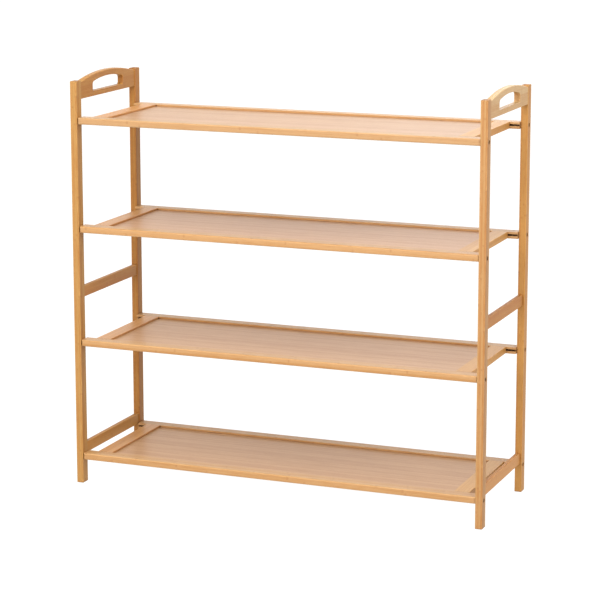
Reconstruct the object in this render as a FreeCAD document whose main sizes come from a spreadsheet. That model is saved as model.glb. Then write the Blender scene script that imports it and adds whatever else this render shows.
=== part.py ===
import FreeCAD, Part
import math
import os

import Sketcher
from FreeCAD import Rotation, Vector

# Four-tier bamboo shoe rack with two carry handles.
#
# Frame: millimetres, +Z up, +X to the right and +Y to the back, seen from the front. The origin is
# on the floor under the middle of the rack.
#
# Each side frame is two posts with a handle board and two flat stretchers dowelled between them.
# Each of the four shelves is two grooved rails, two stiles whose tongues sit in the grooves, and a
# thin panel held in the grooves all round. Screws through the posts hold the shelves.

doc = FreeCAD.newDocument("shoe_rack")
sheet = doc.addObject("Spreadsheet::Sheet", "sheet")

# alias, value in mm, what it is
DIMENSIONS = [
    ("rack_width", 840, "over the outer faces of the posts, along X"),
    ("rack_depth", 280, "over the outer faces of the posts, along Y"),
    ("post_height", 800, "post, floor to top"),
    ("post_width", 14, "post section along X"),
    ("post_depth", 21, "post section along Y"),
    ("post_round", 1.2, "radius on the long edges of a post"),
    ("post_bevel", 0.5, "bevel round the foot and the top of a post"),
    ("shelf_top_1", 729.5, "top of the highest shelf frame above the floor"),
    ("shelf_top_2", 517, "top of the second shelf frame"),
    ("shelf_top_3", 290.5, "top of the third shelf frame"),
    ("shelf_top_4", 60, "top of the lowest shelf frame"),
    ("rail_height", 13, "thickness of rails and stiles, along Z"),
    ("rail_depth", 26, "width of a rail, along Y"),
    ("rail_setback", 2.5, "rail face behind the outer face of the posts"),
    ("rail_round", 2.6, "radius on the outer edges of a rail"),
    ("rail_ease", 0.8, "radius on the inner edges of a rail"),
    ("groove_drop", 4, "shelf top down to the top of the panel groove"),
    ("groove_height", 3.8, "panel groove, along Z"),
    ("groove_depth", 7, "panel groove, into the rail or stile"),
    ("stile_offset", 34, "outer face of the posts to the outer edge of a stile"),
    ("stile_width", 30, "width of a stile, along X"),
    ("tongue_length", 6.5, "tongue on each end of a stile"),
    ("panel_gap", 0.1, "play of tongue and panel in the groove, each side"),
    ("panel_reach", 6, "how far the panel enters each groove"),
    ("stretcher_height", 22, "stretcher, along Z"),
    ("stretcher_thickness", 8, "stretcher, along X"),
    ("stretcher_inset", 4, "stretcher face behind the outer face of the posts"),
    ("stretcher_ease", 1, "radius on the long edges of a stretcher"),
    ("mid_bottom", 373, "underside of the middle stretchers"),
    ("low_bottom", 57, "underside of the bottom stretchers"),
    ("handle_bottom", 764, "underside of the handle boards"),
    ("handle_thickness", 12, "handle board, along X"),
    ("handle_inset", 0.5, "handle face behind the outer face of the posts"),
    ("handle_end", 33.5, "height of a handle board where it meets the posts"),
    ("handle_crown", 46.5, "height of a handle board at the middle of its arch"),
    ("handle_hollow", 36, "radius of the hollow at each end of the arch"),
    ("handle_round", 2, "radius on the edges of the arch"),
    ("slot_length", 132, "hand slot, end to end"),
    ("slot_bottom", 10, "handle underside up to the straight edge of the slot"),
    ("slot_corner", 5, "radius of the two lower corners of the slot"),
    ("slot_shoulder", 7, "radius of the two upper corners of the slot"),
    ("slot_side", 7, "straight side of the slot, between its two corners"),
    ("slot_crown", 34.5, "handle underside up to the middle of the slot's arch"),
    ("slot_ease", 1, "radius on the edges of the slot"),
    ("dowel_radius", 2.5, "dowel"),
    ("dowel_length", 24, "dowel, end to end"),
    ("dowel_bevel", 1, "bevelled end of a dowel"),
    ("dowel_play", 0.05, "dowel hole radius over dowel radius"),
    ("dowel_hole", 12.5, "depth of each dowel hole"),
    ("stretcher_dowel", 6, "stretcher underside up to its lower dowel"),
    ("stretcher_pitch", 10, "between the two dowels of a stretcher end"),
    ("handle_dowel", 7, "handle underside up to its lower dowel"),
    ("handle_pitch", 18, "between the two dowels of a handle end"),
    ("screw_drop", 6.5, "shelf top down to the screw axis"),
    ("screw_setback", 10.5, "outer face of the post to the screw axis, along Y"),
    ("screw_radius", 2.5, "screw body over its thread"),
    ("screw_play", 0.1, "hole radius over screw radius"),
    ("screw_length", 42, "screw, under its head"),
    ("screw_tip", 3, "tapered tip of a screw"),
    ("tip_radius", 1.2, "end of the tapered tip"),
    ("head_radius", 3.8, "screw head"),
    ("head_height", 2.8, "screw head"),
    ("socket_radius", 2.3, "hexagon socket, over its corners"),
    ("socket_depth", 2, "hexagon socket"),
    ("sink_radius", 4, "sunk hole for a screw head"),
    ("sink_depth", 4.5, "sunk hole for a screw head"),
    ("pilot_depth", 36, "screw hole in the end of a rail"),
]
for row, (alias, value, meaning) in enumerate(DIMENSIONS, start=1):
    sheet.set(f"A{row}", alias)
    sheet.set(f"B{row}", str(value))
    sheet.set(f"C{row}", meaning)
    sheet.setAlias(f"B{row}", alias)
doc.recompute()

SHELVES = (1, 2, 3, 4)
CLEAR_WIDTH = "(sheet.rack_width - 2 * sheet.post_width)"
CLEAR_DEPTH = "(sheet.rack_depth - 2 * sheet.post_depth)"
STILE_SPAN = "(sheet.rack_depth - 2 * sheet.rail_setback - 2 * sheet.rail_depth)"
GROOVE_FLOOR = "(sheet.rail_height - sheet.groove_drop - sheet.groove_height)"
PANEL_THICKNESS = "(sheet.groove_height - 2 * sheet.panel_gap)"
HALF_TURN = Rotation(Vector(0, 0, 1), 180)
LENGTHWISE = Rotation(Vector(0, 1, 0), 90)
ACROSS = Rotation(Vector(1, 0, 0), -90)
TOUCH = 1e-4
nodes = []


def number(expression):
    """What an expression over the sheet's cells comes to, in mm."""
    return float(sheet.evalExpression(expression.replace("sheet.", "")))


def numbers(*expressions):
    return [number(item) for item in expressions]


def place(item, x="0", y="0", z="0", rotation=None):
    """Turn an object, then bind its position to the sheet."""
    if rotation is not None:
        item.Placement = FreeCAD.Placement(Vector(), rotation)
    for axis, expression in zip("xyz", (x, y, z)):
        item.setExpression(f"Placement.Base.{axis}", expression)


def new_body(label):
    body = doc.addObject("PartDesign::Body", label)
    body.Label = label
    nodes.append(body)
    return body


def new_sketch(body, name, role, offset=None):
    """A sketch on one of the body's origin planes, moved along its normal by an expression."""
    sketch = body.newObject("Sketcher::SketchObject", name)
    plane = next(item for item in body.Origin.OriginFeatures if item.Role == role)
    sketch.AttachmentSupport = (plane, [""])
    sketch.MapMode = "FlatFace"
    if offset is not None:
        sketch.setExpression("AttachmentOffset.Base.z", offset)
    return sketch


def dimension(sketch, kind, references, expression):
    """A dimension whose value is bound to the sheet."""
    index = sketch.addConstraint(Sketcher.Constraint(kind, *references, number(expression)))
    sketch.setExpression(f"Constraints[{index}]", expression)


def rectangle(sketch, left, bottom, width, height):
    """A rectangle from the expressions of its lower left corner and its size."""
    x, y, w, h = numbers(left, bottom, width, height)
    corners = [Vector(x, y, 0), Vector(x + w, y, 0), Vector(x + w, y + h, 0), Vector(x, y + h, 0)]
    sides = [
        sketch.addGeometry(Part.LineSegment(corners[i], corners[(i + 1) % 4]), False)
        for i in range(4)
    ]
    for i in range(4):
        sketch.addConstraint(Sketcher.Constraint("Coincident", sides[i], 2, sides[(i + 1) % 4], 1))
    for i, direction in enumerate(("Horizontal", "Vertical", "Horizontal", "Vertical")):
        sketch.addConstraint(Sketcher.Constraint(direction, sides[i]))
    dimension(sketch, "DistanceX", (-1, 1, sides[0], 1), left)
    dimension(sketch, "DistanceY", (-1, 1, sides[0], 1), bottom)
    dimension(sketch, "DistanceX", (sides[0], 1, sides[0], 2), width)
    dimension(sketch, "DistanceY", (sides[1], 1, sides[1], 2), height)


def circles(sketch, centres, radius):
    """Circles of one radius, at pairs of expressions."""
    for x, y in centres:
        ring = Part.Circle(Vector(number(x), number(y), 0), Vector(0, 0, 1), number(radius))
        index = sketch.addGeometry(ring, False)
        dimension(sketch, "DistanceX", (-1, 1, index, 3), x)
        dimension(sketch, "DistanceY", (-1, 1, index, 3), y)
        dimension(sketch, "Radius", (index,), radius)


def pad(body, name, sketch, length):
    feature = body.newObject("PartDesign::Pad", name)
    feature.Profile = sketch
    feature.setExpression("Length", length)
    doc.recompute()
    return feature


def pocket(body, name, sketch, depth=None, reverse=False):
    """Cut a sketch to a depth, or right through, and make sure that it cut something."""
    before = body.Tip.Shape.Volume
    feature = body.newObject("PartDesign::Pocket", name)
    feature.Profile = sketch
    feature.Reversed = reverse
    if depth is None:
        feature.Type = "ThroughAll"
    else:
        feature.setExpression("Length", depth)
    doc.recompute()
    if feature.Shape.Volume > before - 1:
        raise RuntimeError(f"{body.Label}: {name} cut nothing")
    return feature


def dress(body, kind, name, size, wanted):
    """Round or bevel the edges of the body whose two ends and middle all pass a test."""
    base = body.Tip
    chosen = []
    for index, edge in enumerate(base.Shape.Edges, start=1):
        middle = edge.valueAt((edge.FirstParameter + edge.LastParameter) / 2)
        points = [vertex.Point for vertex in edge.Vertexes] + [middle]
        if all(wanted(point) for point in points):
            chosen.append(f"Edge{index}")
    feature = body.newObject(f"PartDesign::{kind}", name)
    feature.Base = (base, chosen)
    feature.setExpression("Radius" if kind == "Fillet" else "Size", size)
    doc.recompute()
    return feature


def near(a, b):
    return abs(a - b) < TOUCH


def handle_dowel_heights(bottom="0"):
    """Heights of the two dowels in one end of a handle board whose underside is at bottom."""
    lower = f"{bottom} + sheet.handle_dowel"
    return lower, f"{lower} + sheet.handle_pitch"


def stretcher_dowel_heights(bottom="0"):
    """The same for a stretcher."""
    lower = f"{bottom} + sheet.stretcher_dowel"
    return lower, f"{lower} + sheet.stretcher_pitch"


def make_post(label, outer_first, x, y, rotation):
    """A post. Its outer X face is at x = 0, and its outer Y face at y = 0 or at the far side."""
    body = new_body(label)
    place(body, x, y, "0", rotation)
    section = new_sketch(body, f"{label}_section", "XY_Plane")
    rectangle(section, "0", "0", "sheet.post_width", "sheet.post_depth")
    pad(body, f"{label}_pad", section, "sheet.post_height")
    width, depth, top = numbers("sheet.post_width", "sheet.post_depth", "sheet.post_height")

    def on_corner(p):
        return (near(p.x, 0) or near(p.x, width)) and (near(p.y, 0) or near(p.y, depth))

    def on_end(p):
        return near(p.z, 0) or near(p.z, top)

    dress(body, "Fillet", f"{label}_round", "sheet.post_round", on_corner)
    dress(body, "Chamfer", f"{label}_bevel", "sheet.post_bevel", on_end)

    screw_y = "sheet.screw_setback" if outer_first else "sheet.post_depth - sheet.screw_setback"
    screws = [(screw_y, f"sheet.shelf_top_{k} - sheet.screw_drop") for k in SHELVES]
    holes = new_sketch(body, f"{label}_screw_holes", "YZ_Plane")
    circles(holes, screws, "sheet.screw_radius + sheet.screw_play")
    pocket(body, f"{label}_screw_cut", holes, reverse=True)
    sinks = new_sketch(body, f"{label}_sinks", "YZ_Plane")
    circles(sinks, screws, "sheet.sink_radius")
    pocket(body, f"{label}_sink_cut", sinks, "sheet.sink_depth", reverse=True)

    slat_x = "sheet.stretcher_inset + sheet.stretcher_thickness / 2"
    board_x = "sheet.handle_inset + sheet.handle_thickness / 2"
    dowels = [(board_x, z) for z in handle_dowel_heights("sheet.handle_bottom")]
    for bottom in ("sheet.mid_bottom", "sheet.low_bottom"):
        dowels += [(slat_x, z) for z in stretcher_dowel_heights(bottom)]
    inner_face = "-sheet.post_depth" if outer_first else "0"
    blind = new_sketch(body, f"{label}_dowel_holes", "XZ_Plane", inner_face)
    circles(blind, dowels, "sheet.dowel_radius + sheet.dowel_play")
    pocket(body, f"{label}_dowel_cut", blind, "sheet.dowel_hole", reverse=outer_first)


def cut_end_dowels(body, centres, length):
    """Dowel holes in both ends of a board that runs along +Y from y = 0."""
    for name, offset, reverse in (("front", "0", False), ("back", f"-{length}", True)):
        holes = new_sketch(body, f"{body.Label}_{name}_holes", "XZ_Plane", offset)
        circles(holes, centres, "sheet.dowel_radius + sheet.dowel_play")
        pocket(body, f"{body.Label}_{name}_cut", holes, "sheet.dowel_hole", reverse)


def make_stretcher(label, x, y, z, rotation):
    """A flat slat between two posts, its outer face at x = 0."""
    body = new_body(label)
    place(body, x, y, z, rotation)
    section = new_sketch(body, f"{label}_section", "XY_Plane")
    rectangle(section, "0", "0", "sheet.stretcher_thickness", CLEAR_DEPTH)
    pad(body, f"{label}_pad", section, "sheet.stretcher_height")
    thickness, height = numbers("sheet.stretcher_thickness", "sheet.stretcher_height")

    def on_corner(p):
        return (near(p.x, 0) or near(p.x, thickness)) and (near(p.z, 0) or near(p.z, height))

    dress(body, "Fillet", f"{label}_ease", "sheet.stretcher_ease", on_corner)
    middle = "sheet.stretcher_thickness / 2"
    cut_end_dowels(body, [(middle, z) for z in stretcher_dowel_heights()], CLEAR_DEPTH)


def bow(rise, half_chord):
    """Slope angle at the ends of a curve made of tangent arcs that climbs rise over half_chord."""
    return 2 * math.atan(rise / half_chord)


def handle_outline(sketch):
    """Flat foot, square ends, and an arch that runs out into a hollow at each post."""
    length, end = numbers(CLEAR_DEPTH, "sheet.handle_end")
    crown, hollow = numbers("sheet.handle_crown", "sheet.handle_hollow")
    middle = length / 2
    slope = bow(crown - end, middle)
    arch = middle / math.sin(slope) - hollow
    up = Vector(0, 0, 1)
    right_hollow = Part.Circle(Vector(length, end + hollow, 0), up, hollow)
    left_hollow = Part.Circle(Vector(0, end + hollow, 0), up, hollow)
    top = Part.Circle(Vector(middle, crown - arch, 0), up, arch)
    down, level = -math.pi / 2, math.pi / 2
    outline = [
        Part.LineSegment(Vector(0, 0, 0), Vector(length, 0, 0)),
        Part.LineSegment(Vector(length, 0, 0), Vector(length, end, 0)),
        Part.ArcOfCircle(right_hollow, down - slope, down),
        Part.ArcOfCircle(top, level - slope, level + slope),
        Part.ArcOfCircle(left_hollow, down, down + slope),
        Part.LineSegment(Vector(0, end, 0), Vector(0, 0, 0)),
    ]
    indices = [sketch.addGeometry(item, False) for item in outline]
    foot, right, right_arc, top_arc, left_arc, left = indices
    for kind, references in (
        ("Coincident", (foot, 1, -1, 1)),
        ("Coincident", (foot, 2, right, 1)),
        ("Coincident", (right, 2, right_arc, 2)),
        ("Tangent", (right_arc, 1, top_arc, 1)),
        ("Tangent", (top_arc, 2, left_arc, 2)),
        ("Coincident", (left_arc, 1, left, 1)),
        ("Coincident", (left, 2, foot, 1)),
        ("Horizontal", (foot,)),
        ("Vertical", (right,)),
        ("Vertical", (left,)),
        ("Vertical", (right_arc, 3, right_arc, 2)),
        ("Vertical", (left_arc, 3, left_arc, 1)),
        ("Equal", (right_arc, left_arc)),
        ("Equal", (right, left)),
    ):
        sketch.addConstraint(Sketcher.Constraint(kind, *references))
    dimension(sketch, "DistanceX", (foot, 1, foot, 2), CLEAR_DEPTH)
    dimension(sketch, "DistanceY", (foot, 2, right, 2), "sheet.handle_end")
    dimension(sketch, "Radius", (left_arc,), "sheet.handle_hollow")
    dimension(sketch, "Radius", (top_arc,), HANDLE_ARCH)


def slot_outline(sketch):
    """A hand slot: straight below and at the ends, arched above like the board, corners rounded."""
    half, corner = numbers("sheet.slot_length / 2", "sheet.slot_corner")
    shoulder, side = numbers("sheet.slot_shoulder", "sheet.slot_side")
    bottom, crown = numbers("sheet.slot_bottom", "sheet.slot_crown")
    arch, middle = numbers(SLOT_ARCH, f"{CLEAR_DEPTH} / 2")
    low = bottom + corner
    high = low + side
    slope = math.asin((half - shoulder) / (arch - shoulder))
    up = Vector(0, 0, 1)

    def bend(y, z, radius, start, end):
        return Part.ArcOfCircle(Part.Circle(Vector(middle + y, z, 0), up, radius), start, end)

    def run(y, z, to_y, to_z):
        return Part.LineSegment(Vector(middle + y, z, 0), Vector(middle + to_y, to_z, 0))

    quarter = math.pi / 2
    outline = [
        run(corner - half, bottom, half - corner, bottom),
        bend(half - corner, low, corner, -quarter, 0),
        run(half, low, half, high),
        bend(half - shoulder, high, shoulder, 0, quarter - slope),
        bend(0, crown - arch, arch, quarter - slope, quarter + slope),
        bend(shoulder - half, high, shoulder, quarter + slope, 2 * quarter),
        run(-half, high, -half, low),
        bend(corner - half, low, corner, 2 * quarter, 3 * quarter),
    ]
    pieces = [sketch.addGeometry(item, False) for item in outline]
    for piece, following in zip(pieces, pieces[1:] + pieces[:1]):
        sketch.addConstraint(Sketcher.Constraint("Tangent", piece, 2, following, 1))
    base, right_corner, right, right_shoulder, arc, left_shoulder, left, left_corner = pieces
    for kind, references in (
        ("Horizontal", (base,)),
        ("Vertical", (right,)),
        ("Vertical", (left,)),
        ("Equal", (right, left)),
        ("Equal", (right_corner, left_corner)),
        ("Equal", (right_shoulder, left_shoulder)),
    ):
        sketch.addConstraint(Sketcher.Constraint(kind, *references))
    reach = "(sheet.slot_length / 2 - sheet.slot_corner)"
    dimension(sketch, "DistanceX", (-1, 1, base, 1), f"{CLEAR_DEPTH} / 2 - {reach}")
    dimension(sketch, "DistanceY", (-1, 1, base, 1), "sheet.slot_bottom")
    dimension(sketch, "DistanceX", (base, 1, base, 2), f"2 * {reach}")
    dimension(sketch, "DistanceY", (right, 1, right, 2), "sheet.slot_side")
    dimension(sketch, "Radius", (right_corner,), "sheet.slot_corner")
    dimension(sketch, "Radius", (right_shoulder,), "sheet.slot_shoulder")
    dimension(sketch, "Radius", (arc,), SLOT_ARCH)


# Radius of the board's arch: with slope t at its ends, tan(t / 2) = rise / reach.
HANDLE_RISE = "(sheet.handle_crown - sheet.handle_end)"
HANDLE_ARCH = (
    f"{CLEAR_DEPTH} / 2 / sin(2 * atan({HANDLE_RISE} / ({CLEAR_DEPTH} / 2))) - sheet.handle_hollow"
)
# Radius of the slot's arch, tangent to both shoulders: it climbs SLOT_CLIMB above their centres,
# which are SLOT_REACH from the middle.
SLOT_REACH = "(sheet.slot_length / 2 - sheet.slot_shoulder)"
SLOT_CLIMB = "(sheet.slot_crown - sheet.slot_bottom - sheet.slot_corner - sheet.slot_side)"
SLOT_ARCH = (
    f"({SLOT_REACH} ^ 2 + {SLOT_CLIMB} ^ 2 - sheet.slot_shoulder ^ 2)"
    f" / (2 * ({SLOT_CLIMB} - sheet.slot_shoulder))"
)


def make_handle(label, x, y, rotation):
    """A carry board between two posts, its outer face at x = 0."""
    body = new_body(label)
    place(body, x, y, "sheet.handle_bottom", rotation)
    outline = new_sketch(body, f"{label}_outline", "YZ_Plane")
    handle_outline(outline)
    pad(body, f"{label}_pad", outline, "sheet.handle_thickness")
    slot = new_sketch(body, f"{label}_slot", "YZ_Plane")
    slot_outline(slot)
    pocket(body, f"{label}_slot_cut", slot, reverse=True)
    thickness, length = numbers("sheet.handle_thickness", CLEAR_DEPTH)
    end, crown = numbers("sheet.handle_end", "sheet.slot_crown")

    def on_face(p):
        return near(p.x, 0) or near(p.x, thickness)

    def on_arch(p):
        return on_face(p) and p.z > end - TOUCH

    def on_slot(p):
        return on_face(p) and TOUCH < p.z < crown + TOUCH and TOUCH < p.y < length - TOUCH

    dress(body, "Fillet", f"{label}_ease", "sheet.slot_ease", on_slot)
    dress(body, "Fillet", f"{label}_round", "sheet.handle_round", on_arch)
    middle = "sheet.handle_thickness / 2"
    cut_end_dowels(body, [(middle, z) for z in handle_dowel_heights()], CLEAR_DEPTH)


def cut_groove(body, role, width, reverse=False):
    """The panel groove, all along the inner edge of a rail or stile of this width."""
    groove = new_sketch(body, f"{body.Label}_groove", role)
    floor = f"{width} - sheet.groove_depth"
    rectangle(groove, floor, GROOVE_FLOOR, "sheet.groove_depth", "sheet.groove_height")
    pocket(body, f"{body.Label}_groove_cut", groove, reverse=reverse)


def make_rail(label, x, y, z, rotation):
    """A long shelf rail, its outer face at y = 0 and its panel groove in the inner face."""
    body = new_body(label)
    place(body, x, y, z, rotation)
    section = new_sketch(body, f"{label}_section", "YZ_Plane")
    rectangle(section, "0", "0", "sheet.rail_depth", "sheet.rail_height")
    pad(body, f"{label}_pad", section, CLEAR_WIDTH)
    length, depth, height = numbers(CLEAR_WIDTH, "sheet.rail_depth", "sheet.rail_height")

    def on_outer(p):
        on_end = near(p.x, 0) or near(p.x, length)
        return near(p.y, 0) and (on_end or near(p.z, 0) or near(p.z, height))

    def on_inner(p):
        return near(p.y, depth) and (near(p.z, 0) or near(p.z, height))

    dress(body, "Fillet", f"{label}_round", "sheet.rail_round", on_outer)
    dress(body, "Fillet", f"{label}_ease", "sheet.rail_ease", on_inner)
    cut_groove(body, "YZ_Plane", "sheet.rail_depth", reverse=True)
    centre = [("sheet.screw_setback - sheet.rail_setback", "sheet.rail_height - sheet.screw_drop")]
    for name, offset, reverse in (("near", "0", True), ("far", CLEAR_WIDTH, False)):
        hole = new_sketch(body, f"{label}_{name}_hole", "YZ_Plane", offset)
        circles(hole, centre, "sheet.screw_radius + sheet.screw_play")
        pocket(body, f"{label}_{name}_cut", hole, "sheet.pilot_depth", reverse)


def make_stile(label, x, y, z, rotation):
    """A cross board with a tongue on each end. Its outer edge is at x = 0, a tongue's tip at y = 0."""
    body = new_body(label)
    place(body, x, y, z, rotation)
    board = new_sketch(body, f"{label}_board", "XY_Plane")
    rectangle(board, "0", "sheet.tongue_length", "sheet.stile_width", STILE_SPAN)
    pad(body, f"{label}_pad", board, "sheet.rail_height")
    width, height = numbers("sheet.stile_width", "sheet.rail_height")

    def on_corner(p):
        return (near(p.x, 0) or near(p.x, width)) and (near(p.z, 0) or near(p.z, height))

    dress(body, "Fillet", f"{label}_ease", "sheet.rail_ease", on_corner)
    tongue = new_sketch(body, f"{label}_tongue", "XY_Plane", f"{GROOVE_FLOOR} + sheet.panel_gap")
    rectangle(tongue, "0", "0", "sheet.stile_width", f"{STILE_SPAN} + 2 * sheet.tongue_length")
    pad(body, f"{label}_tongue_pad", tongue, PANEL_THICKNESS)
    cut_groove(body, "XZ_Plane", "sheet.stile_width")


def make_panel(label, z):
    """The thin panel that carries the shoes, held in the grooves on all four sides."""
    body = new_body(label)
    stile_edge = "sheet.rack_width / 2 - sheet.stile_offset - sheet.stile_width"
    half_width = f"({stile_edge} + sheet.panel_reach)"
    half_depth = f"({STILE_SPAN} / 2 + sheet.panel_reach)"
    place(body, f"-{half_width}", f"-{half_depth}", z)
    board = new_sketch(body, f"{label}_board", "XY_Plane")
    rectangle(board, "0", "0", f"2 * {half_width}", f"2 * {half_depth}")
    pad(body, f"{label}_pad", board, PANEL_THICKNESS)


def primitive(kind, name, sizes, x="0", y="0", z="0", rotation=None):
    item = doc.addObject(kind, name)
    for key, expression in sizes.items():
        item.setExpression(key, expression)
    place(item, x, y, z, rotation)
    return item


def join(kind, name, members, x="0", y="0", z="0"):
    """Fuse or group members into one object at a bound position."""
    item = doc.addObject(kind, name)
    setattr(item, "Shapes" if kind == "Part::MultiFuse" else "Links", members)
    place(item, x, y, z)
    return item


def mirror(name, source, normal):
    item = doc.addObject("Part::Mirroring", name)
    item.Source = source
    item.Normal = normal
    return item


def make_screw_set():
    """Four socket-head screws at height 0, one through each post into the end of a rail."""
    start = "-sheet.rack_width / 2 + sheet.sink_depth"
    line = "-sheet.rack_depth / 2 + sheet.screw_setback"
    straight = "sheet.screw_length - sheet.screw_tip"
    outer = f"{start} - sheet.head_height"
    head_size = {"Radius": "sheet.head_radius", "Height": "sheet.head_height"}
    shank_size = {"Radius": "sheet.screw_radius", "Height": straight}
    tip_size = {
        "Radius1": "sheet.screw_radius",
        "Radius2": "sheet.tip_radius",
        "Height": "sheet.screw_tip",
    }
    socket_size = {"Circumradius": "sheet.socket_radius", "Height": "sheet.socket_depth"}
    head = primitive("Part::Cylinder", "screw_head", head_size, outer, line, "0", LENGTHWISE)
    shank = primitive("Part::Cylinder", "screw_shank", shank_size, start, line, "0", LENGTHWISE)
    tip_start = f"{start} + {straight}"
    tip = primitive("Part::Cone", "screw_tip", tip_size, tip_start, line, "0", LENGTHWISE)
    solid = join("Part::MultiFuse", "screw_solid", [head, shank, tip])
    socket = primitive("Part::Prism", "screw_socket", socket_size, outer, line, "0", LENGTHWISE)
    screw = doc.addObject("Part::Cut", "screw")
    screw.Base = solid
    screw.Tool = socket
    pair = join("Part::Compound", "screw_pair", [screw, mirror("screw_right", screw, Vector(1, 0, 0))])
    return [pair, mirror("screw_pair_back", pair, Vector(0, 1, 0))]


def make_dowel_pair():
    """Two dowels at height 0 in the plane x = 0, across the joints of a front and a back post."""
    straight = "sheet.dowel_length - 2 * sheet.dowel_bevel"
    joint = "-sheet.rack_depth / 2 + sheet.post_depth"
    full, thin = "sheet.dowel_radius", "sheet.dowel_radius - sheet.dowel_bevel / 2"
    rod_size = {"Radius": full, "Height": straight}
    first_size = {"Radius1": thin, "Radius2": full, "Height": "sheet.dowel_bevel"}
    last_size = {"Radius1": full, "Radius2": thin, "Height": "sheet.dowel_bevel"}
    rod_start, rod_end = f"{joint} - ({straight}) / 2", f"{joint} + ({straight}) / 2"
    tip = f"{joint} - sheet.dowel_length / 2"
    rod = primitive("Part::Cylinder", "dowel_rod", rod_size, "0", rod_start, "0", ACROSS)
    first = primitive("Part::Cone", "dowel_first", first_size, "0", tip, "0", ACROSS)
    last = primitive("Part::Cone", "dowel_last", last_size, "0", rod_end, "0", ACROSS)
    dowel = join("Part::MultiFuse", "dowel", [rod, first, last])
    return [dowel, mirror("dowel_back", dowel, Vector(0, 1, 0))]


def group_node(label, members, x="0", y="0", z="0"):
    item = join("Part::Compound", label, members, x, y, z)
    item.Label = label
    nodes.append(item)


def make_dowel_set(label, pair, x, z, pitch):
    """Four dowels of one board: two at each end, one above the other."""
    upper = join("Part::Compound", f"{label}_upper", pair, "0", "0", pitch)
    group_node(label, pair + [upper], x, "0", z)


# The four posts. A half turn makes a right post from a left one of the opposite depth.
left, right = "-sheet.rack_width / 2", "sheet.rack_width / 2"
front, back = "-sheet.rack_depth / 2", "sheet.rack_depth / 2"
make_post("left_front_post", True, left, front, None)
make_post("left_back_post", False, left, f"{back} - sheet.post_depth", None)
make_post("right_front_post", False, right, f"{front} + sheet.post_depth", HALF_TURN)
make_post("right_back_post", True, right, back, HALF_TURN)

# Handle boards, stretchers and their dowels.
dowel_pair = make_dowel_pair()
for side, sign, turn in (("left", "-", None), ("right", "", HALF_TURN)):
    start = f"{front} + sheet.post_depth" if turn is None else f"{back} - sheet.post_depth"
    board_face = f"{sign}(sheet.rack_width / 2 - sheet.handle_inset)"
    slat_face = f"{sign}(sheet.rack_width / 2 - sheet.stretcher_inset)"
    make_handle(f"{side}_handle", board_face, start, turn)
    make_stretcher(f"{side}_mid_stretcher", slat_face, start, "sheet.mid_bottom", turn)
    make_stretcher(f"{side}_bottom_stretcher", slat_face, start, "sheet.low_bottom", turn)
    board_depth = "sheet.handle_inset - sheet.handle_thickness / 2"
    slat_depth = "sheet.stretcher_inset - sheet.stretcher_thickness / 2"
    board_middle = f"{sign}(sheet.rack_width / 2 - {board_depth})"
    slat_middle = f"{sign}(sheet.rack_width / 2 - {slat_depth})"
    lowest = "sheet.handle_bottom + sheet.handle_dowel"
    make_dowel_set(f"{side}_handle_dowels", dowel_pair, board_middle, lowest, "sheet.handle_pitch")
    for level, bottom in (("mid", "sheet.mid_bottom"), ("bottom", "sheet.low_bottom")):
        lowest = f"{bottom} + sheet.stretcher_dowel"
        name = f"{side}_{level}_dowels"
        make_dowel_set(name, dowel_pair, slat_middle, lowest, "sheet.stretcher_pitch")

# The shelves, from the top down.
screw_set = make_screw_set()
rail_x = "sheet.rack_width / 2 - sheet.post_width"
stile_x = "(sheet.rack_width / 2 - sheet.stile_offset)"
stile_y = f"({STILE_SPAN} / 2 + sheet.tongue_length)"
for k in SHELVES:
    underside = f"sheet.shelf_top_{k} - sheet.rail_height"
    make_rail(f"shelf_{k}_front_rail", f"-({rail_x})", f"{front} + sheet.rail_setback", underside, None)
    make_rail(f"shelf_{k}_back_rail", rail_x, f"{back} - sheet.rail_setback", underside, HALF_TURN)
    make_stile(f"shelf_{k}_left_stile", f"-{stile_x}", f"-{stile_y}", underside, None)
    make_stile(f"shelf_{k}_right_stile", stile_x, stile_y, underside, HALF_TURN)
    make_panel(f"shelf_{k}_panel", f"{underside} + {GROOVE_FLOOR} + sheet.panel_gap")
    group_node(f"shelf_{k}_screws", screw_set, z=f"sheet.shelf_top_{k} - sheet.screw_drop")

doc.recompute()
for item in doc.Objects:
    if "Invalid" in item.State or "Error" in item.State:
        raise RuntimeError(f"{item.Label}: {item.State}")
for node in nodes:
    if node.Shape.isNull() or not node.Shape.isValid():
        raise RuntimeError(f"{node.Label}: bad shape")

os.makedirs("parts", exist_ok=True)
for node in nodes:
    node.Shape.exportStep(f"parts/{node.Label}.step")
    box = node.Shape.optimalBoundingBox()
    size = f"{box.XLength:.1f} x {box.YLength:.1f} x {box.ZLength:.1f} mm"
    print(f"{node.Label}: {len(node.Shape.Solids)} solids, {node.Shape.Volume:.0f} mm3, {size}")
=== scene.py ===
import math

import bpy
from mathutils import Matrix, Vector


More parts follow.
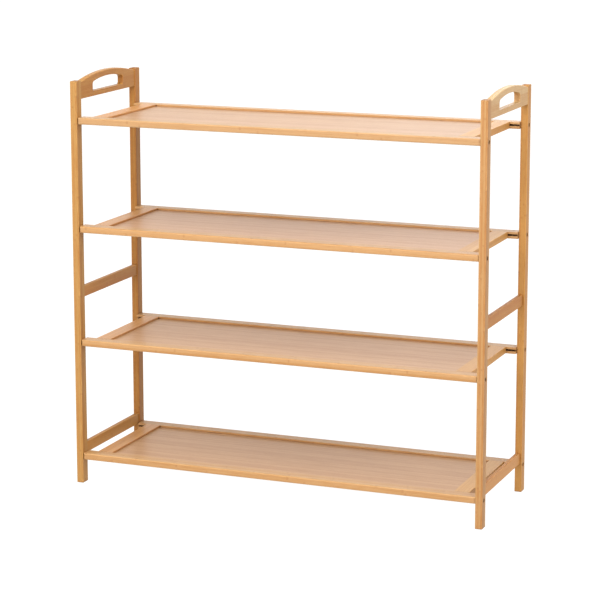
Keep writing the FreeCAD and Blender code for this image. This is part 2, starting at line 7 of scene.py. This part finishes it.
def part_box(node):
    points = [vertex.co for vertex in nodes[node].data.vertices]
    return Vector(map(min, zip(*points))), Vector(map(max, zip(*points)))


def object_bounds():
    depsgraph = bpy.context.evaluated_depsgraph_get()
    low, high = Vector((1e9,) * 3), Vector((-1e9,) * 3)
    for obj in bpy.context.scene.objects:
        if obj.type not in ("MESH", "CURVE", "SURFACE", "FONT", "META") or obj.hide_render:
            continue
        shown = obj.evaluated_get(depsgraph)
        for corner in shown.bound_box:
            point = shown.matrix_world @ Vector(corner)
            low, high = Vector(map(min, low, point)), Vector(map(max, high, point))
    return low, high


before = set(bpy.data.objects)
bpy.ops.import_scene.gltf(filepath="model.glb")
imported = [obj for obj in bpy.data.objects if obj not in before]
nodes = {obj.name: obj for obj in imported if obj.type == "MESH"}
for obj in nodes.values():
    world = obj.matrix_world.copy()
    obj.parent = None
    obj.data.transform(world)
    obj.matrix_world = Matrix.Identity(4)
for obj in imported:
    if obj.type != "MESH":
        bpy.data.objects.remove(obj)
cad_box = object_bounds()
MM = 0.001


# ---------------------------------------------------------------- node trees as arithmetic

class Wire:
    """A socket in a node tree. Arithmetic on it adds math nodes to the tree."""

    def __init__(self, tree, socket):
        self.tree = tree
        self.socket = socket

    def feed(self, target):
        self.tree.links.new(self.socket, target)

    def math(self, operation, *others):
        node = self.tree.nodes.new("ShaderNodeMath")
        node.operation = operation
        for slot, item in zip(node.inputs, (self, *others)):
            plug(item, slot)
        return Wire(self.tree, node.outputs[0])

    def __add__(self, other):
        return self.math("ADD", other)

    def __sub__(self, other):
        return self.math("SUBTRACT", other)

    def __mul__(self, other):
        return self.math("MULTIPLY", other)

    def __truediv__(self, other):
        return self.math("DIVIDE", other)

    def floor(self):
        return self.math("FLOOR")

    def fract(self):
        return self.math("FRACT")

    def abs(self):
        return self.math("ABSOLUTE")

    def less(self, other):
        return self.math("MINIMUM", other)

    def ramp(self, low, high, to_low=0.0, to_high=1.0):
        """A smooth step from to_low at low to to_high at high."""
        node = self.tree.nodes.new("ShaderNodeMapRange")
        node.interpolation_type = "SMOOTHSTEP"
        for slot, item in zip(node.inputs, (self, low, high, to_low, to_high)):
            plug(item, slot)
        return Wire(self.tree, node.outputs[0])


def plug(item, slot):
    """Link a wire to a slot, or write a plain value in it."""
    if isinstance(item, Wire):
        item.feed(slot)
    else:
        slot.default_value = item


def vector(tree, x, y, z):
    node = tree.nodes.new("ShaderNodeCombineXYZ")
    for slot, item in zip(node.inputs, (x, y, z)):
        plug(item, slot)
    return Wire(tree, node.outputs[0])


def parts_of(tree, wire):
    node = tree.nodes.new("ShaderNodeSeparateXYZ")
    wire.feed(node.inputs[0])
    return [Wire(tree, slot) for slot in node.outputs]


def noise(tree, point, scale=1.0, detail=2.0, rough=0.5):
    node = tree.nodes.new("ShaderNodeTexNoise")
    point.feed(node.inputs["Vector"])
    for name, value in (("Scale", scale), ("Detail", detail), ("Roughness", rough)):
        plug(value, node.inputs[name])
    return Wire(tree, node.outputs["Fac"])


def dice(tree, point):
    """Three random numbers that stay the same over a cell."""
    node = tree.nodes.new("ShaderNodeTexWhiteNoise")
    node.noise_dimensions = "3D"
    point.feed(node.inputs["Vector"])
    split = tree.nodes.new("ShaderNodeSeparateColor")
    tree.links.new(node.outputs["Color"], split.inputs[0])
    return [Wire(tree, slot) for slot in split.outputs]


def blend(tree, factor, first, second, mode="MIX"):
    """Mix two colours."""
    node = tree.nodes.new("ShaderNodeMix")
    node.data_type = "RGBA"
    node.blend_type = mode
    plug(factor, node.inputs[0])
    plug(first, node.inputs[6])
    plug(second, node.inputs[7])
    return Wire(tree, node.outputs[2])


def openness(tree, reach):
    """1 on an open face, towards 0 in a gap or corner narrower than reach; used to paint shade into them.
    """
    node = tree.nodes.new("ShaderNodeAmbientOcclusion")
    node.samples = 8
    node.inputs["Distance"].default_value = reach
    return Wire(tree, node.outputs["AO"])


def shade(red, green, blue):
    """A colour given as it looks on a screen, 0 to 255, as the linear one that shaders use."""
    def linear(c):
        c /= 255
        return c / 12.92 if c <= 0.04045 else ((c + 0.055) / 1.055) ** 2.4
    return (linear(red), linear(green), linear(blue), 1.0)


# ---------------------------------------------------------------- laminated bamboo

def bamboo_group():
    """Glued bamboo strips with fibres, culm nodes, glue lines, end grain and eased edges.

    Along, Across and Deep are millimetres from a corner of the piece, with the grain along the
    first. Length, Width and Depth are the size of the piece.
    """
    tree = bpy.data.node_groups.new("laminated_bamboo", "ShaderNodeTree")
    side = tree.interface
    numbers = ("Along", "Across", "Deep", "Length", "Width", "Depth", "Strip Width", "Strip Depth",
               "Seed", "End Grain", "Contrast", "Culm Nodes")
    for name in numbers:
        side.new_socket(name, in_out="INPUT", socket_type="NodeSocketFloat")
    for name in ("Pale", "Warm", "Dark"):
        side.new_socket(name, in_out="INPUT", socket_type="NodeSocketColor")
    side.new_socket("Color", in_out="OUTPUT", socket_type="NodeSocketColor")
    side.new_socket("Roughness", in_out="OUTPUT", socket_type="NodeSocketFloat")
    side.new_socket("Height", in_out="OUTPUT", socket_type="NodeSocketFloat")
    entry = tree.nodes.new("NodeGroupInput")
    given = {slot.name: Wire(tree, slot) for slot in entry.outputs if slot.name}
    u, v, w = given["Along"], given["Across"], given["Deep"]
    seed, contrast = given["Seed"], given["Contrast"]

    # Which strip a point is in, and what is random about that strip.
    v_strip = v / given["Strip Width"]
    w_strip = w / given["Strip Depth"]
    tone, hue, shift = dice(tree, vector(tree, v_strip.floor(), w_strip.floor(), seed))
    jump = shift * 400 + seed * 13

    # Fibres: long soft streaks, fine lines, and short dark flecks of the vascular bundles.
    streak = noise(tree, vector(tree, u * 0.006 + jump, v * 0.45 + jump, w * 0.45), 1.0, 3.0, 0.6)
    line = noise(tree, vector(tree, u * 0.02 + jump, v * 2.6 + jump, w * 2.6), 1.0, 3.0, 0.65)
    dash = noise(tree, vector(tree, u * 0.045 + jump, v * 1.5 + jump, w * 1.5), 1.0, 2.0, 0.5)
    fleck = noise(tree, vector(tree, u * 0.11 + jump, v * 5.5, w * 5.5 + jump), 1.0, 2.0, 0.5)
    fleck = fleck.ramp(0.58, 0.74)
    cloud = noise(tree, vector(tree, u * 0.02, v * 0.05 + seed, w * 0.05 + seed * 7), 1.0, 2.0, 0.5)

    # Culm nodes: a thin dark ring with a pale swelling on one side, at its own place in each strip.
    spacing = hue * 70 + 190
    wobble = noise(tree, vector(tree, v * 0.5 + jump, w * 0.5, seed), 1.0, 2.0, 0.5) * 3
    place = ((u + wobble) / spacing + shift).fract() * spacing - spacing * 0.5
    ring = place.abs().ramp(0.4, 3.2, 1.0, 0.0) * given["Culm Nodes"]
    swell = (place - 4).abs().ramp(0.5, 7.0, 1.0, 0.0) * given["Culm Nodes"]

    # Glue lines, and the distance to the nearest long edge of the piece.
    seam_v = (v_strip.fract() - 0.5).abs() * given["Strip Width"]
    seam_w = (w_strip.fract() - 0.5).abs() * given["Strip Depth"]
    near_v = (given["Strip Width"] * 0.5 - seam_v).ramp(0.05, 0.28, 1.0, 0.0)
    near_w = (given["Strip Depth"] * 0.5 - seam_w).ramp(0.05, 0.28, 1.0, 0.0)
    seam = near_v.math("MAXIMUM", near_w)
    gap_u = u.less(given["Length"] - u)
    gap_v = v.less(given["Width"] - v)
    gap_w = w.less(given["Depth"] - w)
    low = gap_v.less(gap_w)
    high = gap_v.math("MAXIMUM", gap_w)
    long_edge = high.ramp(0.6, 2.4, 1.0, 0.0)
    end_edge = gap_u.math("MAXIMUM", low).ramp(0.6, 2.6, 1.0, 0.0)
    edge = long_edge.math("MAXIMUM", end_edge)
    rub = noise(tree, vector(tree, u * 0.03, v * 0.3, w * 0.3), 1.0, 3.0, 0.6).ramp(0.35, 0.7)

    # Colour.
    mixed = (tone - 0.5) * 0.62 + (streak - 0.5) * 1.3 + (line - 0.5) * 0.75 + (cloud - 0.5) * 0.5
    mixed = mixed + (dash - 0.5) * 1.1
    mixed = mixed * contrast + 0.42
    colour = blend(tree, mixed.ramp(0.0, 1.0), given["Pale"], given["Warm"])
    colour = blend(tree, (line - 0.5).ramp(0.02, 0.3) * contrast * 0.45, colour, given["Dark"])
    colour = blend(tree, fleck * contrast * 0.4, colour, given["Dark"])
    colour = blend(tree, swell * 0.35, colour, given["Pale"])
    colour = blend(tree, ring * 0.28, colour, given["Dark"])
    colour = blend(tree, seam * 0.28, colour, given["Dark"])
    colour = blend(tree, edge * rub * 0.3, colour, given["Pale"])

    # End grain: cut bundles as dark dots in a darker ground.
    dots = tree.nodes.new("ShaderNodeTexVoronoi")
    dots.feature = "F1"
    vector(tree, v * 1.1, w * 1.1, u * 0.02).feed(dots.inputs["Vector"])
    dots.inputs["Scale"].default_value = 1.0
    dot = Wire(tree, dots.outputs["Distance"]).ramp(0.12, 0.42, 1.0, 0.0)
    end = given["End Grain"].ramp(0.6, 0.9)
    ground = blend(tree, 0.45, given["Warm"], given["Dark"])
    cut = blend(tree, dot * 0.55, ground, given["Dark"])
    cut = blend(tree, seam * 0.5, cut, given["Dark"])
    colour = blend(tree, end * 0.8, colour, cut)

    rough = (line - 0.5) * 0.22 + seam * 0.15 + end * 0.2 + edge * rub * 0.08 + 0.42
    height = line * 0.5 + streak * 0.3 - fleck * 0.35 - seam * 0.9 + ring * 0.5 - dot * end * 0.6

    leave = tree.nodes.new("NodeGroupOutput")
    for name, wire in (("Color", colour), ("Roughness", rough), ("Height", height)):
        wire.feed(leave.inputs[name])
    return tree


GROUP = bamboo_group()

# What sets one kind of board apart: strip size in mm, how strong its figure is, how many culm nodes
# show, and its pale, warm and dark colours.
FRAME_COLOURS = (shade(204, 164, 116), shade(188, 136, 80), shade(138, 82, 38))
RAIL_COLOURS = (shade(179, 140, 93), shade(166, 122, 71), shade(121, 72, 33))
STILE_COLOURS = (shade(185, 136, 81), shade(172, 118, 61), shade(126, 70, 28))
PANEL_COLOURS = (shade(178, 142, 108), shade(163, 123, 88), shade(123, 85, 55))
KINDS = {
    "post": (3.5, 5.25, 1.55, 1.0, FRAME_COLOURS),
    "board": (12.0, 6.0, 0.9, 0.8, FRAME_COLOURS),
    "slat": (11.0, 4.0, 0.9, 0.8, FRAME_COLOURS),
    "rail": (6.5, 5.8, 1.25, 1.0, RAIL_COLOURS),
    "stile": (6.0, 5.8, 0.9, 0.7, STILE_COLOURS),
    "panel": (5.2, 3.0, 1.0, 0.35, PANEL_COLOURS),
}
AXES = "xyz"
# What each board's colour is multiplied by: partly its own tone, as no two boards come from the same
# culm, and partly painted shade and light, which makes the left posts and the left handle darker and more
# orange than the right ones.
TONE_AND_SHADE_TINTS = {
    "left_front_post": (0.66, 0.60, 0.36),
    "left_back_post": (0.60, 0.475, 0.18),
    "right_front_post": (0.69, 0.64, 0.51),
    "right_back_post": (0.74, 0.625, 0.33),
    "left_handle": (0.635, 0.515, 0.23),
    "right_handle": (0.84, 0.95, 1.0),
    "left_mid_stretcher": (0.75, 0.63, 0.32),
    "left_bottom_stretcher": (0.73, 0.60, 0.28),
    "right_mid_stretcher": (0.70, 0.53, 0.22),
    "right_bottom_stretcher": (0.82, 0.65, 0.37),
    "shelf_1_panel": (0.97, 0.96, 0.95),
    "shelf_2_panel": (1.05, 1.01, 0.97),
    "shelf_3_panel": (1.0, 0.95, 0.85),
    "shelf_4_panel": (0.98, 0.93, 0.81),
    "shelf_1_front_rail": (0.93, 0.95, 1.0),
}
for tier in range(1, 5):
    TONE_AND_SHADE_TINTS[f"shelf_{tier}_right_stile"] = (1.0, 1.07, 0.95)
# Painted shade: a warm brown multiplied into gaps and corners, and a near-black painted shadow deep in
# grooves and joints.
CREVICE_SHADE = shade(196, 142, 86)
GAP_SHADOW = shade(34, 16, 8)
# Satin lacquer. Its gloss is taken away deep in a gap, along with the painted gap shadow.
SPECULAR = 0.25
COAT = 0.08
COAT_ROUGHNESS = 0.28
GAP_REACH = 9 * MM
GRAIN_RELIEF = 0.08 * MM


def bamboo(name, kind, grain, across, deep, seed):
    """A material for one piece, with the grain along one axis and its strips counted on the others."""
    strip_width, strip_depth, contrast, rings, colours = KINDS[kind]
    material = bpy.data.materials.new(f"bamboo_{name}")
    material.use_nodes = True
    tree = material.node_tree
    shader = tree.nodes["Principled BSDF"]
    low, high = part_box(name)
    place = tree.nodes.new("ShaderNodeTexCoord")
    at = parts_of(tree, Wire(tree, place.outputs["Object"]))
    facing = parts_of(tree, Wire(tree, place.outputs["Normal"]))
    board = tree.nodes.new("ShaderNodeGroup")
    board.node_tree = GROUP
    directions = ((grain, "Along", "Length"), (across, "Across", "Width"), (deep, "Deep", "Depth"))
    for axis, distance, size in directions:
        i = AXES.index(axis)
        plug((at[i] - low[i]) / MM, board.inputs[distance])
        board.inputs[size].default_value = (high[i] - low[i]) / MM
    plug(facing[AXES.index(grain)].abs(), board.inputs["End Grain"])
    for socket, value in (("Strip Width", strip_width), ("Strip Depth", strip_depth), ("Seed", seed),
                          ("Contrast", contrast), ("Culm Nodes", rings)):
        board.inputs[socket].default_value = value
    # The tint carries painted shade and light as well as the board's own tone.
    tone_and_shade_tint = TONE_AND_SHADE_TINTS.get(name, (1.0, 1.0, 1.0))
    for socket, colour in zip(("Pale", "Warm", "Dark"), colours):
        board.inputs[socket].default_value = [c * k for c, k in zip(colour, (*tone_and_shade_tint, 1.0))]
    # Painted shade from ambient occlusion: the colour darkens in gaps and corners and turns near black
    # deep in grooves and joints, where shade falls, and the gloss is taken away there.
    gap = openness(tree, GAP_REACH)
    painted_crevice_shade = gap.ramp(0.3, 0.75, 1.0, 0.0)
    colour = blend(tree, painted_crevice_shade * 0.5, Wire(tree, board.outputs["Color"]), CREVICE_SHADE, "MULTIPLY")
    painted_gap_shadow = gap.ramp(0.28, 0.46, 1.0, 0.0)
    colour = blend(tree, painted_gap_shadow, colour, GAP_SHADOW)
    plug(colour, shader.inputs["Base Color"])
    plug(painted_gap_shadow * -SPECULAR + SPECULAR, shader.inputs["Specular IOR Level"])
    shader.inputs["Coat Weight"].default_value = COAT
    tree.links.new(board.outputs["Roughness"], shader.inputs["Roughness"])
    bump = tree.nodes.new("ShaderNodeBump")
    bump.inputs["Strength"].default_value = 0.35
    bump.inputs["Distance"].default_value = GRAIN_RELIEF
    tree.links.new(board.outputs["Height"], bump.inputs["Height"])
    tree.links.new(bump.outputs["Normal"], shader.inputs["Normal"])
    shader.inputs["Coat Roughness"].default_value = COAT_ROUGHNESS
    return material


def turned_wood(name):
    """Plain beech of the dowels."""
    material = bpy.data.materials.new(name)
    material.use_nodes = True
    tree = material.node_tree
    shader = tree.nodes["Principled BSDF"]
    place = tree.nodes.new("ShaderNodeTexCoord")
    x, y, z = parts_of(tree, Wire(tree, place.outputs["Object"]))
    grain = noise(tree, vector(tree, x * 1800, y * 60, z * 1800), 1.0, 3.0, 0.6)
    colour = blend(tree, grain.ramp(0.3, 0.7), shade(224, 190, 148), shade(190, 146, 100))
    plug(colour, shader.inputs["Base Color"])
    plug(grain * 0.2 + 0.5, shader.inputs["Roughness"])
    return material


def plated_steel(name):
    """Dark zinc-plated screws, a little scuffed."""
    material = bpy.data.materials.new(name)
    material.use_nodes = True
    tree = material.node_tree
    shader = tree.nodes["Principled BSDF"]
    place = tree.nodes.new("ShaderNodeTexCoord")
    x, y, z = parts_of(tree, Wire(tree, place.outputs["Object"]))
    scuff = noise(tree, vector(tree, x * 900, y * 2500, z * 2500), 1.0, 4.0, 0.7)
    colour = blend(tree, scuff.ramp(0.35, 0.7), shade(70, 66, 62), shade(132, 126, 118))
    plug(colour, shader.inputs["Base Color"])
    plug(scuff * 0.25 + 0.25, shader.inputs["Roughness"])
    shader.inputs["Metallic"].default_value = 1.0
    return material


def dress(name, material):
    """Give a CAD node a material in place of the one it came with."""
    node = nodes[name]
    node.data.materials.clear()
    node.data.materials.append(material)


wood = turned_wood("dowel_beech")
steel = plated_steel("screw_plated")
# For each name ending: the kind of board, then the axes along its grain, across it and through it.
BOARDS = {
    "_post": ("post", "z", "x", "y"),
    "_handle": ("board", "y", "z", "x"),
    "_stretcher": ("slat", "y", "z", "x"),
    "_rail": ("rail", "x", "y", "z"),
    "_stile": ("stile", "y", "x", "z"),
    "_panel": ("panel", "x", "y", "z"),
}
for seed, name in enumerate(sorted(nodes), start=1):
    if name.endswith("_dowels"):
        dress(name, wood)
    elif name.endswith("_screws"):
        dress(name, steel)
    else:
        ending = next(end for end in BOARDS if name.endswith(end))
        dress(name, bamboo(name, *BOARDS[ending], seed))


# ---------------------------------------------------------------- floor, light and camera

def plain(name, colour, rough):
    material = bpy.data.materials.new(name)
    material.use_nodes = True
    shader = material.node_tree.nodes["Principled BSDF"]
    shader.inputs["Base Color"].default_value = colour
    shader.inputs["Roughness"].default_value = rough
    return material


def make_floor(size, height):
    """A white floor that glows, so that it stays white under any light."""
    mesh = bpy.data.meshes.new("floor")
    half = size / 2
    corners = [(-half, -half, height), (half, -half, height), (half, half, height), (-half, half, height)]
    mesh.from_pydata(corners, [], [(0, 1, 2, 3)])
    floor = bpy.data.objects.new("floor", mesh)
    bpy.context.collection.objects.link(floor)
    material = plain("pale_floor", (0.04, 0.04, 0.04, 1.0), 0.9)
    shader = material.node_tree.nodes["Principled BSDF"]
    shader.inputs["Emission Color"].default_value = (1.0, 1.0, 1.0, 1.0)
    shader.inputs["Emission Strength"].default_value = 1.0
    mesh.materials.append(material)


def light_tent(low, high):
    """White surroundings that are brighter near the horizon than overhead."""
    world = bpy.data.worlds.new("light_tent")
    bpy.context.scene.world = world
    world.use_nodes = True
    tree = world.node_tree
    place = tree.nodes.new("ShaderNodeTexCoord")
    _, _, rise = parts_of(tree, Wire(tree, place.outputs["Generated"]))
    plug(rise.ramp(0.1, 0.6, low, high), tree.nodes["Background"].inputs["Strength"])
    tree.nodes["Background"].inputs["Color"].default_value = (1.0, 1.0, 1.0, 1.0)


def aim(azimuth, elevation):
    """Unit vector towards a light; azimuth 0 is in front of the rack and 90 on its right."""
    a, e = math.radians(azimuth), math.radians(elevation)
    return Vector((math.sin(a) * math.cos(e), -math.cos(a) * math.cos(e), math.sin(e)))


def softbox(name, spot, target, width, height, power):
    light = bpy.data.lights.new(name, "AREA")
    light.shape = "RECTANGLE"
    light.size, light.size_y = width, height
    light.energy = power
    lamp = bpy.data.objects.new(name, light)
    bpy.context.collection.objects.link(lamp)
    lamp.location = spot
    lamp.rotation_euler = (Vector(target) - Vector(spot)).to_track_quat("-Z", "Y").to_euler()


def make_camera(spot, turn, tilt, roll, lens, shift):
    """Turn is towards -X from straight down +Y, tilt is downwards; angles in degrees."""
    data = bpy.data.cameras.new("camera")
    data.sensor_width = SENSOR_WIDTH
    data.lens = lens
    data.shift_y = shift
    data.clip_end = 200.0
    camera = bpy.data.objects.new("camera", data)
    bpy.context.collection.objects.link(camera)
    facing = (Matrix.Rotation(math.radians(turn), 4, "Z")
              @ Matrix.Rotation(math.radians(90 - tilt), 4, "X")
              @ Matrix.Rotation(math.radians(roll), 4, "Z"))
    camera.matrix_world = Matrix.Translation(spot) @ facing
    bpy.context.scene.camera = camera


FLOOR_SIZE = 60.0
SOFTBOX_AWAY = 3.2
SOFTBOX_SIDE = 1.8
# For each softbox: azimuth and elevation in degrees, and power in watts.
SOFTBOXES = {
    "front": (0, 25, 82),
    "key": (0, 50, 37),
    "right": (75, 30, 40),
    "left": (-75, 30, 18),
    "top": (0, 80, 44),
    "back": (180, 35, 12),
}
SENSOR_WIDTH = 36.0
PICTURE_WIDTH = 600
FOCAL_LENGTH = 2268.5 / PICTURE_WIDTH * SENSOR_WIDTH

centre = (cad_box[0] + cad_box[1]) / 2
make_floor(FLOOR_SIZE, cad_box[0].z)

light_tent(1.91, 0.43)
for name, (azimuth, elevation, power) in SOFTBOXES.items():
    spot = centre + aim(azimuth, elevation) * SOFTBOX_AWAY
    softbox(name, spot, centre, SOFTBOX_SIDE, SOFTBOX_SIDE, power)
bpy.context.scene.view_settings.view_transform = "Standard"

# Metres and degrees. The small shift keeps the posts nearly upright in the picture.
make_camera((1.6024, -4.0162, 1.2897), 21.733, 10.428, -0.023, FOCAL_LENGTH, -0.1)
